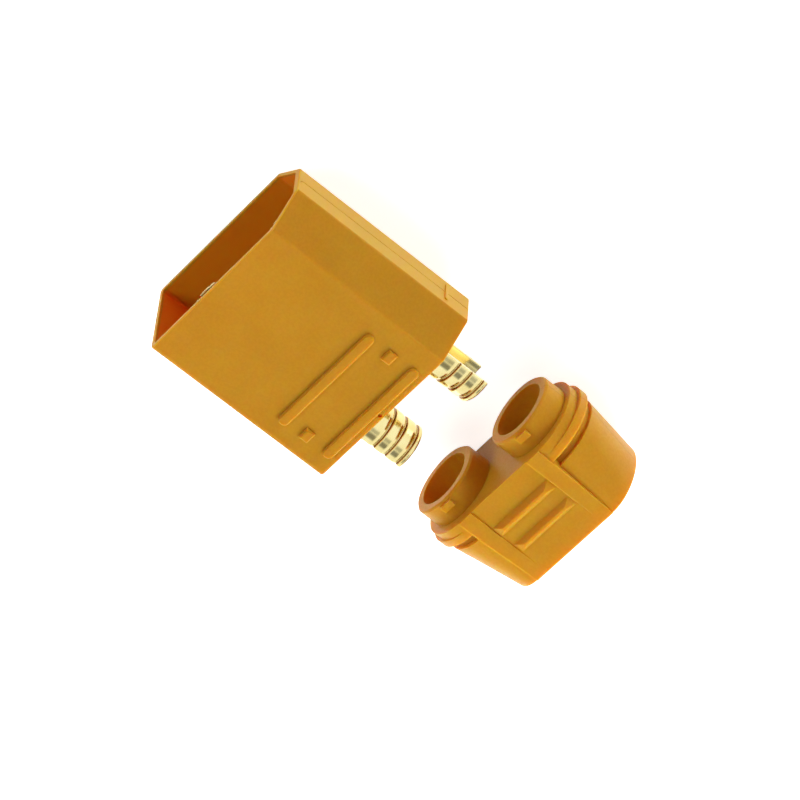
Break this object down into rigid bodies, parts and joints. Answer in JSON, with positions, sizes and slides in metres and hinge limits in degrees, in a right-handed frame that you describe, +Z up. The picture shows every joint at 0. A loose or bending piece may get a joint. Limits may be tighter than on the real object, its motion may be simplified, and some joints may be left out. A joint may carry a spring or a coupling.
{
  "type": "battery connector",
  "caption": "Male half of a battery connector: a keyed shroud around split pins with solder cups, and a rear cover that pushes on over the cups.",
  "frame": {"origin": "under the middle of the whole connector, on the surface that it lies on", "axes": "+X from the mating mouth to the cable side, +Y to the narrow end with the two cut-off corners, +Z up, out of the large face with the grip ribs"},
  "size_m": [0.0448, 0.0214, 0.0111],
  "materials": {
    "housing_nylon": "amber nylon, fine satin grain",
    "cover_nylon": "amber nylon, smooth satin, slightly translucent where thin",
    "gold_plating": "bright gold plating on brass"
  },
  "bodies": {
    "plug": {"housing": "housing_nylon", "contact_positive": "gold_plating", "contact_negative": "gold_plating"},
    "rear_cover": {"cover": "cover_nylon"}
  },
  "joints": [
    {"name": "cover_slide", "type": "slide", "parent": "plug", "child": "rear_cover", "axis": [1, 0, 0], "range_m": [-0.0134, 0]}
  ]
}
